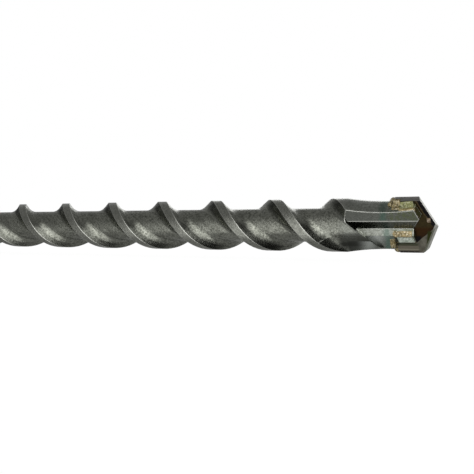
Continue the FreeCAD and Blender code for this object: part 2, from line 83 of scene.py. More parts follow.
# Directions, across and through the plate, that faces of the head look in: the flat beside the gullet, the
# bevel, and the faces that lie along the plate.
FLAT_NORMAL = (0.454, 0.891)
BEVEL_NORMAL = (-0.444, 0.896)
ALONG_NORMAL = (0.0, 1.0)

# Lines over the plate's sides: where each crosses the axis, measured from the point, and how far it leans
# along the axis for each millimetre across.
TAN_LINE = (-0.72, -0.456)
CUTTING_LINE = (-0.58, -0.45)
TRAILING_LINE = (0.0, 1.234)
GREEN_LINE = (-1.85, 0.185)

# Camera: where the lower section of the photograph was taken from, fitted to the ribs' outlines.
CAMERA_PLACE = (0.38411, -0.17840, -0.00253)
CAMERA_RIGHT = (0.87771, 0.47915, 0.00567)
CAMERA_UP = (-0.00646, 0.0, 0.99998)
FOCAL_PIXELS = 760.0
PHOTO_WIDTH = 474.0
SENSOR = 36.0

# Light of the room by direction, read from the reflections in the photograph's flutes: a tall soft box in
# front that leans to the right, an even room, and patches where the room is darker or brighter.
ROOM = 0.245
BOX = 1.1
BOX_LEAN = 0.3
ROOM_PATCHES = (
    # direction, the cosines between which the patch fades in, and what is left of the room there
    ((0.97, -0.26, 0.00), 0.45, 0.85, 0.03),
    ((0.86, -0.20, -0.46), 0.70, 0.93, 0.03),
    ((0.80, -0.15, 0.58), 0.72, 0.95, 0.15),
    ((-0.98, 0.15, -0.10), 0.75, 0.96, 0.10),
    ((-0.50, 0.85, 0.10), 0.60, 0.92, 1.5),
    ((-0.35, -0.05, -0.93), 0.65, 0.95, 1.35),
    ((0.28, 0.92, -0.30), 0.80, 0.97, 2.4),
)

# Colours of the grey steel of shank and neck.
GREY_LOW = (0.36, 0.375, 0.33)
GREY_HIGH = (0.70, 0.72, 0.655)
GREY_SCUFF = (0.80, 0.82, 0.755)
GREY_BLOTCH = (0.33, 0.345, 0.30)
GREY_SUNK = (0.20, 0.21, 0.185)
# painted shade for the grooves' side walls
GREY_WALL_SHADE = (0.045, 0.047, 0.04)
GREY_CONE = (0.13, 0.136, 0.12)
GREY_RIM = (0.86, 0.87, 0.82)

# Colours of the flute body's steel.
FLUTE_LOW = (0.115, 0.12, 0.10)
FLUTE_HIGH = (0.36, 0.37, 0.32)
HEAD_LOW = (0.20, 0.21, 0.18)
HEAD_HIGH = (0.42, 0.44, 0.40)
STREAK = (0.43, 0.44, 0.39)
BLOTCH = (0.16, 0.165, 0.14)
LAND = (0.42, 0.425, 0.39)
BRAZING_FILM = (0.11, 0.09, 0.035)
MILLED = (0.085, 0.09, 0.08)
HEAT_TEAL = (0.07, 0.135, 0.105)
HEAT_GREEN = (0.105, 0.125, 0.055)
# painted shade for the gullet's inner corner
WEB_SHADE = (0.04, 0.042, 0.035)
# painted shade where the flute runs out under the head
RUN_OUT_SHADE = (0.05, 0.052, 0.045)
# painted light for the milled face beyond the ridge
SECOND_FACE_LIGHT = (0.34, 0.36, 0.335)
# painted shade at the flute's lower end under the head
FOOT_SHADE = (0.03, 0.031, 0.027)
# worn edges, and the painted highlight along the gullet's lower edge
WORN_AND_HIGHLIGHT = (0.78, 0.79, 0.73)

# Colours of the carbide plate: its sides, then its ground faces.
FILM_RED = (0.060, 0.024, 0.004)
FILM_OLIVE = (0.070, 0.050, 0.016)
FILM_CLOUD = (0.022, 0.013, 0.006)
# painted shade: the bare band along the cutting edge, nearly black
EDGE_SHADE_LOW = (0.005, 0.004, 0.005)
EDGE_SHADE_HIGH = (0.018, 0.015, 0.016)
EDGE_TAN = (0.20, 0.15, 0.085)
# painted shadow in the corner at the steel's front
CORNER_SHADOW = (0.006, 0.005, 0.006)
CLEAN_LOW = (0.16, 0.15, 0.115)
CLEAN_HIGH = (0.30, 0.285, 0.23)
POINT_GREEN = (0.045, 0.055, 0.010)
# painted shade on the bare strip under the bevel
STRIP_DARK_SHADE = (0.10, 0.105, 0.065)
STRIP_BROWN = (0.25, 0.225, 0.17)
# painted shade at the plate's outer edge
STRIP_OUTER_SHADE = (0.05, 0.045, 0.04)
STRIP_LINE = (0.45, 0.42, 0.33)
BLACK = (0.0, 0.0, 0.0)
SIDE_SHADE = 0.38                   # how far the sides' colours above are darkened
ROUND_LOW = (0.20, 0.20, 0.185)
ROUND_HIGH = (0.30, 0.29, 0.27)
RELIEF_LOW = (0.32, 0.32, 0.27)
RELIEF_HIGH = (0.48, 0.48, 0.43)
RELIEF_OLIVE = (0.06, 0.07, 0.015)
CARBIDE_WORN = (0.35, 0.33, 0.30)

# Colours of the solder: light, middle and dark, and those along the gullet's edge.
GOLD = ((0.54, 0.48, 0.32), (0.31, 0.245, 0.11), (0.09, 0.075, 0.033))
BRIGHT = ((0.88, 0.78, 0.55), (0.52, 0.41, 0.20), (0.16, 0.13, 0.06))
GREEN = ((0.52, 0.52, 0.33), (0.27, 0.28, 0.11), (0.11, 0.11, 0.045))
PALE = ((0.95, 1.0, 0.93), (0.66, 0.74, 0.63), (0.38, 0.44, 0.36))
TAN = ((0.55, 0.46, 0.36), (0.36, 0.28, 0.20), (0.16, 0.11, 0.06))
RIM_BROWN = (0.42, 0.30, 0.12)
# painted highlight along the gullet's edge
RIM_HIGHLIGHT = (1.0, 0.88, 0.60)


def add_camera():
    """Camera at the photograph's viewing angle."""
    data = bpy.data.cameras.new("camera")
    data.sensor_width = SENSOR
    data.lens = FOCAL_PIXELS / PHOTO_WIDTH * SENSOR
    data.clip_start = 0.01
    camera = bpy.data.objects.new("camera", data)
    right = Vector(CAMERA_RIGHT).normalized()
    up = Vector(CAMERA_UP).normalized()
    back = right.cross(up).normalized()
    turn = Matrix((right, up, back)).transposed().to_4x4()
    camera.matrix_world = Matrix.Translation(CAMERA_PLACE) @ turn
    bpy.context.scene.collection.objects.link(camera)
    bpy.context.scene.camera = camera


def add_light(name, place, target, size, power):
    """Soft box of a width and height in metres, aimed at a target."""
    data = bpy.data.lights.new(name, "AREA")
    data.shape = "RECTANGLE"
    data.size, data.size_y = size
    data.energy = power
    light = bpy.data.objects.new(name, data)
    light.location = place
    aim = Vector(target) - Vector(place)
    light.rotation_euler = aim.to_track_quat("-Z", "Y").to_euler()
    bpy.context.scene.collection.objects.link(light)


class Nodes:
    """Adds shader nodes to one node tree. An input may be a number, a colour, a vector or a socket."""

    def __init__(self, tree):
        self.tree = tree

    def add(self, kind, inputs=None, **settings):
        """A node with its settings and inputs."""
        node = self.tree.nodes.new(kind)
        for name, value in settings.items():
            setattr(node, name, value)
        for name, value in (inputs or {}).items():
            self.feed(node.inputs[name], value)
        return node

    def feed(self, socket, value):
        """Links a socket to an input, or sets the input's value."""
        if isinstance(value, bpy.types.NodeSocket):
            self.tree.links.new(value, socket)
        elif isinstance(value, tuple) and len(value) == 3 and socket.type == "RGBA":
            socket.default_value = (*value, 1.0)
        else:
            socket.default_value = value

    def math(self, operation, a, b=0.0):
        """Result of one Math node."""
        return self.add("ShaderNodeMath", {0: a, 1: b}, operation=operation).outputs[0]

    def plus(self, *terms):
        """Sum of two or more numbers."""
        total = terms[0]
        for term in terms[1:]:
            total = self.math("ADD", total, term)
        return total

    def minus(self, a, b):
        """Difference of two numbers."""
        return self.math("SUBTRACT", a, b)

    def times(self, *factors):
        """Product of two or more numbers. Masks that are multiplied leave what they have in common."""
        product = factors[0]
        for factor in factors[1:]:
            product = self.math("MULTIPLY", product, factor)
        return product

    def either(self, a, b):
        """The larger of two masks."""
        return self.math("MAXIMUM", a, b)

    def ramp(self, value, low, high, start=0.0, end=1.0):
        """Smooth step from start, where a value is at low, to end, where it is at high."""
        node = self.add("ShaderNodeMapRange", {
            "Value": value, "From Min": low, "From Max": high, "To Min": start, "To Max": end,
        }, interpolation_type="SMOOTHSTEP")
        return node.outputs["Result"]

    def band(self, value, low, high, soft):
        """One between low and high, nought outside, with soft borders."""
        return self.times(self.ramp(value, low - soft, low + soft),
                          self.ramp(value, high - soft, high + soft, 1.0, 0.0))

    def blend(self, factor, a, b):
        """A colour between a and b."""
        node = self.add("ShaderNodeMix", {"Factor": factor}, data_type="RGBA")
        self.feed(node.inputs[6], a)
        self.feed(node.inputs[7], b)
        return node.outputs[2]

    def mix(self, factor, a, b):
        """A number between a and b."""
        node = self.add("ShaderNodeMix", {"Factor": factor}, data_type="FLOAT")
        self.feed(node.inputs[2], a)
        self.feed(node.inputs[3], b)
        return node.outputs[0]

    def mix_vectors(self, factor, a, b):
        """A vector between a and b."""
        node = self.add("ShaderNodeMix", {"Factor": factor}, data_type="VECTOR")
        self.feed(node.inputs[4], a)
        self.feed(node.inputs[5], b)
        return node.outputs[1]

    def noise(self, vector, scale, detail=2.0, roughness=0.5):
        """Noise from about 0 to 1; at scale 1 its lumps are about a millimetre wide."""
        node = self.add("ShaderNodeTexNoise", {
            "Vector": vector, "Scale": scale, "Detail": detail, "Roughness": roughness,
        })
        return node.outputs[0]

    def vector(self, x, y, z):
        """Vector of three numbers."""
        return self.add("ShaderNodeCombineXYZ", {0: x, 1: y, 2: z}).outputs[0]

    def split(self, vector):
        """The three numbers of a vector."""
        return tuple(self.add("ShaderNodeSeparateXYZ", {0: vector}).outputs)

    def dot(self, a, b):
        """Dot product of two vectors."""
        return self.add("ShaderNodeVectorMath", {0: a, 1: b}, operation="DOT_PRODUCT").outputs["Value"]

    def stretched(self, vector, factors):
        """A vector with each of its numbers multiplied by its own factor."""
        return self.add("ShaderNodeVectorMath", {0: vector, 1: factors}, operation="MULTIPLY").outputs[0]

    def turned(self, vector, angle):
        """A vector turned about X by an angle, which may be a socket."""
        inputs = {"Vector": vector, "Angle": angle}
        return self.add("ShaderNodeVectorRotate", inputs, rotation_type="X_AXIS").outputs[0]

    def millimetres(self):
        """The object's own coordinates in millimetres; a CAD node's are the frame's."""
        place = self.add("ShaderNodeTexCoord").outputs["Object"]
        return self.add("ShaderNodeVectorMath", {0: place, "Scale": 1.0 / MM}, operation="SCALE").outputs[0]

    def geometry(self, name):
        """An output of the Geometry node."""
        return self.add("ShaderNodeNewGeometry").outputs[name]

    def rounded(self, radius, samples):
        """Normal of the surface with its sharp edges rounded by a radius in millimetres."""
        return self.add("ShaderNodeBevel", {"Radius": radius * MM}, samples=samples).outputs[0]

    def bump(self, height, distance, strength, normal=None):
        """Normal of a relief; its distance is in millimetres."""
        node = self.add("ShaderNodeBump", {
            "Height": height, "Distance": distance * MM, "Strength": strength,
        })
        if normal is not None:
            self.feed(node.inputs["Normal"], normal)
        return node.outputs[0]


def box_in_front(make, towards):
    """Where the soft box in front is, seen from the object."""
    right, back, up = make.split(towards)
    level = make.math("SQRT", make.plus(make.times(right, right), make.times(back, back)))
    across = make.minus(make.math("DIVIDE", right, level), make.times(up, BOX_LEAN))
    sides = make.times(make.ramp(across, -0.62, -0.36), make.ramp(across, 0.66, 0.42))
    brighter_right = make.ramp(across, -0.4, 0.3, 0.75, 1.15)
    height = make.band(up, -0.78, 0.85, 0.12)
    in_front = make.ramp(back, -0.02, -0.20)
    return make.times(sides, brighter_right, height, in_front)


def add_world():
    """Plain white for the camera; for the object, the light of the room."""
    world = bpy.data.worlds.new("world")
    world.use_nodes = True
    bpy.context.scene.world = world
    world.node_tree.nodes.clear()
    make = Nodes(world.node_tree)
    towards = make.add("ShaderNodeTexCoord").outputs["Generated"]
    room = ROOM
    for direction, start, full, left in ROOM_PATCHES:
        facing = make.dot(towards, tuple(Vector(direction).normalized()))
        room = make.times(room, make.ramp(facing, start, full, 1.0, left))
    strength = make.plus(make.times(box_in_front(make, towards), BOX), room)
    seen = make.add("ShaderNodeLightPath").outputs["Is Camera Ray"]
    light = make.add("ShaderNodeBackground", {"Color": (1.0, 1.0, 1.0), "Strength": strength})
    white = make.add("ShaderNodeBackground", {"Color": (1.0, 1.0, 1.0), "Strength": 1.0})
    both = make.add("ShaderNodeMixShader", {0: seen, 1: light.outputs[0], 2: white.outputs[0]})
    make.add("ShaderNodeOutputWorld", {0: both.outputs[0]})


def new_material(name):
    """Empty node material and a maker for its nodes."""
    material = bpy.data.materials.new(name)
    material.use_nodes = True
    material.node_tree.nodes.clear()
    return material, Nodes(material.node_tree)


def floor_paint():
    """White to the camera but for the object's shadow, and not there for the object's reflections."""
    material, make = new_material("floor_paint")
    diffuse = make.add("ShaderNodeBsdfDiffuse", {"Color": (0.8, 0.8, 0.8)})
    glow = make.add("ShaderNodeEmission", {"Color": (1.0, 1.0, 1.0), "Strength": 1.12})
    pale = make.add("ShaderNodeMixShader", {0: 0.86, 1: diffuse.outputs[0], 2: glow.outputs[0]})
    gone = make.add("ShaderNodeBsdfTransparent")
    seen = make.add("ShaderNodeLightPath").outputs["Is Camera Ray"]
    both = make.add("ShaderNodeMixShader", {0: seen, 1: gone.outputs[0], 2: pale.outputs[0]})
    make.add("ShaderNodeOutputMaterial", {0: both.outputs[0]})
    return material


def add_floor():
    """Pale floor just under the shank."""
    half_width = 4.0
    gap = 0.05
    floor_z = -(SHANK_R + gap) * MM
    corners = [(x * half_width, y * half_width, floor_z) for x, y in ((-1, -1), (1, -1), (1, 1), (-1, 1))]
    mesh = bpy.data.meshes.new("floor")
    mesh.from_pydata(corners, [], [(0, 1, 2, 3)])
    mesh.materials.append(floor_paint())
    floor = bpy.data.objects.new("floor", mesh)
    bpy.context.scene.collection.objects.link(floor)


def finish_metal(make, colour, roughness, normal, metallic):
    """Ends a material with a metal surface."""
    shader = make.add("ShaderNodeBsdfPrincipled", {
        "Base Color": colour, "Roughness": roughness, "Metallic": metallic, "Normal": normal,
    })
    make.add("ShaderNodeOutputMaterial", {0: shader.outputs[0]})


def edge_wear(make, radius, low, high):
    """Mask of the sharp edges, from the difference between a rounded and the true normal."""
    rounded = make.rounded(radius, samples=4)
    sameness = make.dot(rounded, make.geometry("True Normal"))
    return make.ramp(make.minus(1.0, sameness), low, high)


def radius_of(make, y, z):
    """Distance from the bit's axis."""
    return make.math("SQRT", make.plus(make.times(y, y), make.times(z, z)))


def grey_steel(make, place):
    """Colour, roughness and relief of the blasted grey steel of shank and neck."""
    grain = make.noise(place, 2.2, 4.0, 0.72)
    scuffs = make.noise(make.stretched(place, (0.25, 1.0, 1.0)), 0.9, 3.0, 0.65)
    blotch = make.noise(place, 0.10, 3.0, 0.6)
    colour = make.blend(make.ramp(grain, 0.38, 0.62), GREY_LOW, GREY_HIGH)
    colour = make.blend(make.ramp(scuffs, 0.5, 0.72, 0.0, 0.6), colour, GREY_SCUFF)
    colour = make.blend(make.ramp(blotch, 0.35, 0.7, 0.0, 0.4), colour, GREY_BLOTCH)
    roughness = make.ramp(grain, 0.3, 0.7, 0.42, 0.28)
    height = make.plus(grain, make.times(scuffs, 0.8))
    return colour, roughness, height


def shank_steel():
    """Blasted grey steel: darker in the grooves and on the collar cone, with painted shade on the grooves'
    side walls, polished along the rims.
    """
    material, make = new_material("turned_steel")
    place = make.millimetres()
    x, y, z = make.split(place)
    radius = radius_of(make, y, z)
    colour, roughness, height = grey_steel(make, place)
    on_shank = make.ramp(x, CONE_START + 0.2, CONE_START - 0.2)
    sunk = make.times(make.ramp(radius, SHANK_R - 0.15, SHANK_R - 0.6), on_shank)
    colour = make.blend(make.times(sunk, 0.30), colour, GREY_SUNK)
    # painted shade on the side walls of the grooves and pockets, darker than the rest
    from_axis = make.vector(0.0, y, z)
    outwards = make.math("DIVIDE", make.dot(make.geometry("True Normal"), from_axis), radius)
    wall = make.times(
        make.ramp(outwards, 0.55, 0.2),
        make.band(x, CHAMFER_END + 0.7, CONE_START - 0.5, 0.3),
    )
    colour = make.blend(make.times(wall, 0.85), colour, GREY_WALL_SHADE)
    cone = make.band(x, CONE_START + 0.5, CONE_END - 0.4, 0.5)
    colour = make.blend(make.times(cone, 0.75), colour, GREY_CONE)
    wear = edge_wear(make, 0.35, 0.02, 0.15)
    ring = make.times(make.band(x, CONE_START - 0.6, CONE_START + 0.1, 0.15), 0.7)
    colour = make.blend(make.times(make.either(wear, ring), 0.75), colour, GREY_RIM)
    finish_metal(make, colour, roughness, make.bump(height, 0.06, 0.8), 0.85)
    return material


def steel_places(make):
    """Place and normal of the flute body's surface: along the axis, across the plate and through it."""
    place = make.millimetres()
    normal = make.geometry("True Normal")
    x, y, z = make.split(place)
    _, across, through = make.split(make.turned(place, -PLATE_TURN))
    _, normal_across, normal_through = make.split(make.turned(normal, -PLATE_TURN))
    side = make.math("SIGN", through)
    return SimpleNamespace(
        place=place,
        x=x,
        past_neck=make.minus(x, NECK_END),
        past_head=make.minus(x, HEAD_START),
        past_seat=make.minus(x, SEAT),
        radius=radius_of(make, y, z),
        across=make.times(across, side),
        through=make.math("ABSOLUTE", through),
        normal_x=make.split(normal)[0],
        normal_across=make.times(normal_across, side),
        normal_through=make.times(normal_through, side),
    )


def along_flutes(make, at):
    """Coordinates that run straight along the flutes and change slowly there."""
    _, y, z = make.split(make.turned(at.place, make.times(at.x, -2 * math.pi / LEAD)))
    return make.vector(make.times(at.x, 0.12), y, z)


def blasted_colour(make, at, grain, streak):
    """Grainy steel, darker in the flutes than on the head, streaked and blotched, lighter on the lands."""
    blotch = make.noise(at.place, 0.22, 3.0, 0.6)
    flute = make.blend(make.ramp(grain, 0.38, 0.62), FLUTE_LOW, FLUTE_HIGH)
    head = make.blend(make.ramp(grain, 0.34, 0.66), HEAD_LOW, HEAD_HIGH)
    colour = make.blend(make.ramp(at.past_head, -1.6, 0.9), flute, head)
    colour = make.blend(make.ramp(streak, 0.35, 0.75, 0.0, 0.45), colour, STREAK)
    colour = make.blend(make.ramp(blotch, 0.35, 0.75, 0.0, 0.5), colour, BLOTCH)
    on_land = make.ramp(at.radius, LAND_R - 0.23, LAND_R - 0.05)
    return make.blend(make.times(on_land, 0.3), colour, LAND)


def head_faces(make, at):
    """Masks of the head's faces."""
    # the steel's sloped front, beside the plate's point
    front = make.times(
        make.ramp(at.normal_x, 0.5, 0.7),
        make.ramp(at.past_seat, 3.4, 4.2),
    )
    # painted shade in the gullet's inner corner, beside the plate
    web_shade = make.times(
        make.ramp(at.normal_across, -0.40, -0.46),
        make.ramp(at.past_head, 0.9, 2.9),
        make.ramp(at.across, -1.0, -0.6),
    )
    # the faces that lie along the plate, on both sides of the ridge
    border = make.minus(at.through, make.ramp(at.across, -1.5, -3.0, 0.0, 0.6))
    milled = make.times(
        make.ramp(at.past_head, 0.3, 0.8),
        make.ramp(border, 3.5, 3.3),
        make.ramp(at.normal_through, 0.92, 0.97),
    )
    # the milled face beyond the ridge, between the flute and the solder, lightened with painted light
    second_face_light = make.times(
        milled,
        make.ramp(at.across, -1.5, -1.8),
        make.ramp(make.minus(at.past_seat, make.times(at.across, 0.9)), 1.3, -3.2),
        make.ramp(at.past_head, 2.4, 6.4),
    )
    # painted shade where the flute runs out over the milled faces, and more painted shade at its lower end
    run_out_shade = make.times(
        make.ramp(at.past_head, -2.1, -0.6),
        make.ramp(at.radius, 5.6, 5.2),
        make.ramp(at.through, 3.3, 3.5),
        make.ramp(at.across, 0.5, -2.5, 0.35, 1.0),
    )
    foot_shade = make.times(
        make.ramp(at.past_head, 4.4, -0.6),
        make.ramp(at.past_head, -2.3, -0.9),
        make.ramp(at.across, -2.5, -3.3),
        make.ramp(at.through, 2.4, 2.9),
    )
    return SimpleNamespace(
        front=front, web_shade=web_shade, milled=milled, second_face_light=second_face_light, run_out_shade=run_out_shade, foot_shade=foot_shade,
    )


def heat_tint(make, at, colour):
    """Heat colours beside the plate, uneven along their border."""
    border = make.plus(at.past_seat, make.times(make.noise(at.place, 0.5, 3.0), 2.4))
    teal = make.band(border, -1.6, 0.2, 0.7)
    green = make.band(border, 0.8, 8.8, 0.8)
    mottle = make.ramp(make.noise(at.place, 1.4, 4.0, 0.7), 0.35, 0.65)
    colour = make.blend(make.times(teal, 0.6), colour, HEAT_TEAL)
    return make.blend(make.times(green, mottle, 0.75), colour, HEAT_GREEN)


def worn_parts(make, at):
    """Where edges can wear: on the outside and along the gullet."""
    on_gullet = make.times(
        make.ramp(at.past_head, -0.6, 0.4),
        make.ramp(at.through, 3.7, 3.4),
        make.ramp(at.across, -1.3, -1.0),
    )
    return make.either(make.ramp(at.radius, 5.3, 5.7), on_gullet)


def worn_and_highlit_edges(make, at, worn, streak):
    """Sharp edges worn bright, and a line along the gullet's lower edge, worn and painted as a highlight.
    """
    edges = make.times(edge_wear(make, 0.34, 0.004, 0.022), worn)
    # painted highlight along the gullet's lower edge, in the worn colour
    lower_edge_highlight = make.times(
        make.band(at.across, 2.36, 2.74, 0.10),
        make.ramp(at.through, 2.85, 2.95),
        make.ramp(at.through, 3.4, 3.2),
        make.ramp(at.past_head, 0.5, 1.1),
        make.ramp(streak, 0.3, 0.55, 0.45, 0.8),
    )
    return make.either(edges, lower_edge_highlight)


def flute_steel():
    """Blasted steel: grainy in the flutes, streaked along them, brighter on the lands, tinted by heat, with
    painted shade and painted light on the head.
    """
    material, make = new_material("blasted_steel")
    at = steel_places(make)
    grain = make.noise(at.place, 1.9, 4.0, 0.7)
    pits = make.noise(at.place, 3.6, 2.0, 0.5)
    streak = make.noise(along_flutes(make, at), 1.8, 3.0, 0.6)
    faces = head_faces(make, at)
    worn = worn_parts(make, at)
    wear = worn_and_highlit_edges(make, at, worn, streak)
    neck = make.times(
        make.ramp(at.past_neck, 6.6, -2.4),
        make.ramp(at.radius, LAND_R - 0.35, LAND_R - 0.10),
    )
    neck_colour, neck_roughness, neck_height = grey_steel(make, at.place)

    colour = blasted_colour(make, at, grain, streak)
    colour = make.blend(faces.front, colour, BRAZING_FILM)
    colour = make.blend(make.times(faces.milled, 0.8), colour, MILLED)
    colour = heat_tint(make, at, colour)
    # painted shade in the gullet's inner corner
    colour = make.blend(make.times(faces.web_shade, 0.5), colour, WEB_SHADE)
    # painted shade where the flute runs out
    colour = make.blend(make.times(faces.run_out_shade, 0.75), colour, RUN_OUT_SHADE)
    # painted light on the milled face beyond the ridge
    colour = make.blend(faces.second_face_light, colour, SECOND_FACE_LIGHT)
    # painted shade at the flute's lower end
    colour = make.blend(make.times(faces.foot_shade, 0.72), colour, FOOT_SHADE)
    # worn edges, and the painted highlight along the gullet's lower edge
    colour = make.blend(make.times(wear, 0.85), colour, WORN_AND_HIGHLIGHT)
    colour = make.blend(neck, colour, neck_colour)

    roughness = make.mix(neck, make.ramp(grain, 0.3, 0.7, 0.30, 0.18), neck_roughness)
    height = make.plus(grain, make.times(pits, 0.5), make.times(streak, 0.35))
    smoother_head = make.ramp(at.past_head, -2.1, 0.4, 1.0, 0.55)
    height = make.times(height, smoother_head, make.minus(1.0, make.times(wear, 0.8)))
    height = make.mix(neck, height, neck_height)
    metallic = make.minus(1.0, make.times(make.either(faces.front, faces.second_face_light), 0.8))
    softened = make.mix_vectors(worn, make.geometry("Normal"), make.rounded(0.22, samples=6))
    finish_metal(make, colour, roughness, make.bump(height, 0.055, 0.8, softened), metallic)
    return material


def plate_places(make):
    """Place on carbide or solder: along the axis, across the plate and through it, alike on both sides."""
    place = make.millimetres()
    x, across, through = make.split(make.turned(place, -PLATE_TURN))
    side = make.math("SIGN", through)
    return SimpleNamespace(
        place=place,
        x=x,
        past_point=make.minus(x, POINT),
        across=make.times(across, side),
        through=make.times(through, side),
    )


def past_line(make, past_point, across, line):
    """How far a place is past one of the lines over the plate's sides."""
    middle, slope = line
    return make.minus(past_point, make.plus(make.times(across, slope), middle))


def cutting_side(make, at, shaky, fine, cloud):
    """Colour of the plate's sides: a brown film, bare along the cutting edge and the ground edge; along the
    cutting edge painted shade makes it nearly black, and a painted shadow lies in the corner at the steel's
    front.
    """
    side = make.blend(make.ramp(at.across, -0.6, 0.5), FILM_RED, FILM_OLIVE)
    side = make.blend(make.ramp(cloud, 0.4, 0.7, 0.0, 0.6), side, FILM_CLOUD)

    tan_line = make.times(
        make.band(past_line(make, shaky, at.across, TAN_LINE), -0.13, 0.10, 0.06),
        make.ramp(at.across, 1.6, 2.4),
        make.ramp(cloud, 0.35, 0.6, 0.25, 0.8),
    )
    side = make.blend(tan_line, side, EDGE_TAN)
    # the bare band along the cutting edge, nearly black with painted shade
    lead_band_shade = make.times(
        make.ramp(past_line(make, shaky, at.across, CUTTING_LINE), -0.08, 0.08),
        make.ramp(at.across, 0.1, 0.5),
    )
    side = make.blend(lead_band_shade, side, make.blend(make.ramp(fine, 0.35, 0.65), EDGE_SHADE_LOW, EDGE_SHADE_HIGH))
    # painted shadow in the corner at the steel's front
    corner = make.times(make.ramp(at.across, -1.9, -2.7), make.ramp(at.past_point, -3.4, -4.1))
    side = make.blend(corner, side, CORNER_SHADOW)
    trail_band = make.times(
        make.ramp(past_line(make, shaky, at.across, TRAILING_LINE), -0.06, 0.06),
        make.ramp(at.across, 0.3, 0.0),
    )
    side = make.blend(trail_band, side, make.blend(make.ramp(cloud, 0.35, 0.7), CLEAN_LOW, CLEAN_HIGH))
    green = make.times(
        make.ramp(past_line(make, shaky, at.across, GREEN_LINE), -0.25, 0.25),
        make.ramp(at.across, -0.6, -1.4),
    )
    return make.blend(green, side, POINT_GREEN)


def bare_strip(make, at, shaky, side):
    """Bare strip behind the bevelled steel: dark, bare with painted shade under the bevel, brown-grey, a
    bright line, and dark with painted shade at the outer edge.
    """
    strip = make.times(make.ramp(at.across, -4.25, -4.4), make.ramp(shaky, -5.0, -4.4, 1.0, 0.0))
    colour = make.blend(make.ramp(at.across, -4.9, -5.1), STRIP_DARK_SHADE, STRIP_BROWN)
    colour = make.blend(make.ramp(at.across, -6.3, -6.5), colour, STRIP_OUTER_SHADE)
    colour = make.blend(make.band(at.across, -6.08, -5.88, 0.06), colour, STRIP_LINE)
    return make.blend(strip, side, colour)


def ground_faces(make, at, cloud):
    """Colour of the ground faces: the relief towards the point, and the round outside."""
    normal_x = make.split(make.geometry("True Normal"))[0]
    round_side = make.blend(make.ramp(cloud, 0.35, 0.7), ROUND_LOW, ROUND_HIGH)
    relief = make.blend(make.ramp(cloud, 0.35, 0.7), RELIEF_LOW, RELIEF_HIGH)
    tinted = make.times(make.ramp(at.across, -0.3, -0.9), make.ramp(at.through, 0.05, 0.35))
    relief = make.blend(tinted, relief, RELIEF_OLIVE)
    return make.blend(make.ramp(normal_x, 0.5, 0.6), round_side, relief)


def carbide():
    """Ground carbide with a brown heat film on its sides, bare along the cutting edges, which painted shade
    makes nearly black.
    """
    material, make = new_material("carbide")
    at = plate_places(make)
    wobble = make.times(make.minus(make.noise(at.place, 0.9, 3.0, 0.6), 0.5), 0.5)
    shaky = make.plus(at.past_point, wobble)
    fine = make.noise(at.place, 4.0, 4.0, 0.7)
    cloud = make.noise(at.place, 0.8, 4.0, 0.65)
    side = cutting_side(make, at, shaky, fine, cloud)
    side = bare_strip(make, at, shaky, side)
    side = make.blend(SIDE_SHADE, side, BLACK)
    on_side = make.ramp(at.through, PLATE_HALF - 0.02, PLATE_HALF - 0.005)
    colour = make.blend(on_side, ground_faces(make, at, cloud), side)
    wear = edge_wear(make, 0.10, 0.1, 0.4)
    colour = make.blend(make.times(wear, 0.3), colour, CARBIDE_WORN)
    roughness = make.ramp(fine, 0.3, 0.7, 0.28, 0.42)
    grinding_marks = make.noise(make.vector(make.times(at.x, 6.0), at.across, at.through), 1.6, 3.0, 0.6)
    height = make.plus(make.times(grinding_marks, 0.4), cloud)
    finish_metal(make, colour, roughness, make.bump(height, 0.05, 0.6), 0.85)
    return material


def solder(name, colours, metallic=0.4, with_rim=False):
    """Lumpy brazing metal with glints and dark flux, and with_rim a bright rim of painted highlight at the
    gullet's edge.
    """
    material, make = new_material(name)
    at = plate_places(make)
    light, middle, dark = colours
    lumps = make.noise(at.place, 1.1, 4.0, 0.7)
    specks = make.noise(at.place, 2.4, 3.0, 0.7)
    colour = make.blend(make.ramp(lumps, 0.38, 0.56), dark, middle)
    colour = make.blend(make.ramp(specks, 0.52, 0.62), colour, light)
    if with_rim:
        colour = make.blend(make.ramp(at.through, 2.1, 2.7, 0.0, 0.6), colour, RIM_BROWN)
        # painted highlight along the gullet's edge
        colour = make.blend(make.ramp(at.through, 2.78, 2.92), colour, RIM_HIGHLIGHT)
    roughness = make.ramp(specks, 0.3, 0.7, 0.5, 0.28)
    height = make.plus(lumps, make.times(specks, 0.6))
    finish_metal(make, colour, roughness, make.bump(height, 0.12, 0.9), metallic)
    return material


def dress(node, material):
    """Gives a CAD node its material."""
    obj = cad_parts[node]
    obj.data.materials.clear()
    obj.data.materials.append(material)


def between(low, high, part):
    """Number at a part of the way from low to high."""
    return low + (high - low) * part


def smooth(low, high, value):
    """Smooth step from 0 at low to 1 at high; high may be the smaller one."""
    part = max(0.0, min(1.0, (value - low) / (high - low)))
    return part * part * (3 - 2 * part)


def wavy(seed, u, v, scale):
    """Smooth noise from -1 to 1 over a patch."""
    return noise.noise(Vector((u * scale + seed * 7.3, v * scale - seed * 3.1, seed * 1.7)))


def head_point(x, across, through, half):
    """Point of the head in metres, from millimetres along the axis, across the plate and through it."""
    turn = PLATE_TURN + half * math.pi
    y = across * math.cos(turn) - through * math.sin(turn)
    z = across * math.sin(turn) + through * math.cos(turn)
    return Vector((x, y, z)) * MM


def outer_radius(x):
    """Radius of the head's waisted outside at a place along the axis."""
    part = (x - HEAD_START) / (SHOULDER - HEAD_START)
    return between(LAND_R, HEAD_R, part) - WAIST * 4 * part * (1 - part)


# A profile gives a place on the surface under a patch: across and through the plate, the direction of its
# normal in those two, and how much higher the solder stands there. v runs over the patch from 0 to 1.

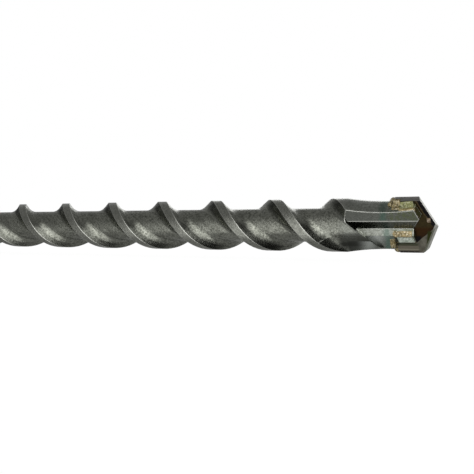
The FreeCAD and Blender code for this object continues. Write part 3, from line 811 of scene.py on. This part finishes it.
def over_leading_wall(v, x):
    """From the plate's corner over the step and along the outside to the gullet's edge."""
    step_height, step_end = 0.92, 0.6
    through = between(1.15, 3.07, v)
    across = math.sqrt(outer_radius(x) ** 2 - through ** 2)
    length = math.hypot(across, through)
    step = step_height * max(0.0, 1 - v / step_end) ** 1.5
    return across, through, across / length, through / length, step


def over_corner(v, x):
    """Round the plate's inner corner, from the plate's round side down to the steel's outside."""
    through = between(0.15, 2.60, v)
    on_plate = smooth(1.9, 1.0, through) * smooth(SEAT - 0.1, SEAT + 0.7, x)
    radius = between(outer_radius(x), PLATE_R, on_plate)
    across = math.sqrt(radius ** 2 - through ** 2)
    return across, through, across / radius, through / radius, 0.0


def bevel_height(across):
    """How far through the plate the bevel beyond the ridge lies."""
    return RIDGE_THROUGH + BEVEL_SLOPE * (across - RIDGE_ACROSS)


def over_ridge(v, x):
    """Along the flat beside the gullet's deepest line, over the ridge and a little down the bevel."""
    flat_start, flat_height, flat_slope = -0.6, 1.91, -0.51
    across = between(-0.5, -2.25, v)
    if across > RIDGE_ACROSS:
        return across, flat_height + flat_slope * (across - flat_start), *FLAT_NORMAL, 0.0
    return across, bevel_height(across), *ALONG_NORMAL, 0.0


def over_bevel(v, x):
    """Down the bevel behind the plate's outer half, from below the ridge to the plate's bare face."""
    across = between(-2.1, -4.25, v)
    return across, bevel_height(across), *BEVEL_NORMAL, 0.0


def on_second_face(v, x):
    """On the steel beside the plate's inner end, from the ridge outwards."""
    face_height = 2.45
    return between(-2.4, -5.2, v), face_height, *ALONG_NORMAL, 0.0


def on_rake(v, x):
    """On the plate's side beside the chisel edge."""
    return between(1.1, 2.6, v), PLATE_HALF, *ALONG_NORMAL, 0.0


def cover_at(seed, u, v, open_start):
    """How fully a patch covers its surface, from 0 at its ragged border to 1."""
    fade = 0.22
    from_edge = 2 * min(u, 1 - u, 1 if open_start else v, 1 - v)
    ragged = 0.08 + 0.08 * wavy(seed, u, v, 5.0)
    return smooth(0.0, fade, from_edge - ragged)


def lumps_at(seed, u, v):
    """Height of a patch's lumps, as a share of its thickness."""
    lowest, middle = 0.15, 0.62
    coarse = 0.45 * wavy(seed, u, v, 7.0)
    fine = 0.225 * wavy(seed + 5, u, v, 17.0)
    return max(lowest, middle + coarse + fine)


def close_patch(bm, top, bottom):
    """Faces over a grid of top points, a grid of bottom points under it, and all round between them."""
    columns, rows = len(top) - 1, len(top[0]) - 1
    for i in range(columns):
        for j in range(rows):
            bm.faces.new((top[i][j], top[i + 1][j], top[i + 1][j + 1], top[i][j + 1]))
            bm.faces.new((bottom[i][j], bottom[i][j + 1], bottom[i + 1][j + 1], bottom[i + 1][j]))
    for i in range(columns):
        for j in (0, rows):
            bm.faces.new((top[i][j], bottom[i][j], bottom[i + 1][j], top[i + 1][j]))
    for j in range(rows):
        for i in (0, columns):
            bm.faces.new((top[i][j], top[i][j + 1], bottom[i][j + 1], bottom[i][j]))
    bmesh.ops.recalc_face_normals(bm, faces=bm.faces)
    for face in bm.faces:
        face.smooth = True


def solder_patch(name, half, reach, profile, thickness, material, seed, sink=0.10, open_start=False):
    """Lumpy patch on a profile, over a reach along the axis from the plate's seat.

    It thins out to its borders, but not at v = 0 with open_start, and sinks below the surface by sink.
    """
    columns, rows = 46, 26
    border_depth = 0.03
    bm = bmesh.new()
    top, bottom = [], []
    for i in range(columns + 1):
        u = i / columns
        x = SEAT + between(*reach, u)
        top.append([])
        bottom.append([])
        for j in range(rows + 1):
            v = j / rows
            across, through, up_across, up_through, extra = profile(v, x)
            cover = cover_at(seed, u, v, open_start)
            lift = cover * (thickness * lumps_at(seed, u, v) + extra) - border_depth
            over = (across + up_across * lift, through + up_through * lift)
            under = (across - up_across * sink, through - up_through * sink)
            top[i].append(bm.verts.new(head_point(x, *over, half)))
            bottom[i].append(bm.verts.new(head_point(x, *under, half)))
    close_patch(bm, top, bottom)
    mesh = bpy.data.meshes.new(name)
    bm.to_mesh(mesh)
    bm.free()
    mesh.materials.append(material)
    piece = bpy.data.objects.new(name, mesh)
    bpy.context.scene.collection.objects.link(piece)
    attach(piece, "root")


def add_solder(gold):
    """Solder that ran over the steel and the plate, on both halves of the head."""
    bright = solder("solder_bright", BRIGHT)
    green = solder("solder_green", GREEN, with_rim=True)
    pale = solder("solder_pale", PALE, metallic=0.1)
    tan = solder("solder_tan", TAN)
    patches = (
        # name, reach from the seat, surface, thickness, solder, and what is special about the patch
        ("wall", (1.7, 5.9), over_leading_wall, 0.16, green, {"sink": 0.3, "open_start": True}),
        ("corner", (0.0, 2.4), over_corner, 0.34, gold, {"sink": 0.9}),
        ("ridge", (-0.75, 4.6), over_ridge, 0.19, bright, {}),
        ("bevel", (0.15, 4.65), over_bevel, 0.16, pale, {}),
        ("end", (-1.35, 0.0), on_second_face, 0.35, gold, {}),
        ("spot", (7.8, 8.85), on_rake, 0.12, tan, {}),
    )
    for half, half_name in enumerate(("upper", "lower")):
        for index, (name, reach, profile, thickness, material, special) in enumerate(patches):
            seed = 1 + 10 * half + index
            piece_name = f"solder_{name}_{half_name}"
            solder_patch(piece_name, half, reach, profile, thickness, material, seed, **special)


add_camera()
add_world()
add_floor()
add_light("key", place=(0.45, -1.30, 0.35), target=(0.20, 0, 0), size=(0.50, 0.80), power=1.0)
add_light("behind", place=(0.12, 0.95, 0.30), target=(0.12, 0, 0), size=(0.90, 0.45), power=1.6)

gold = solder("solder_gold", GOLD)
add_solder(gold)
dress("shank", shank_steel())
dress("flute_body", flute_steel())
dress("cutter_plate", carbide())
dress("braze_foil", gold)
dress("braze_beads", gold)
bpy.context.scene.view_settings.view_transform = "Standard"
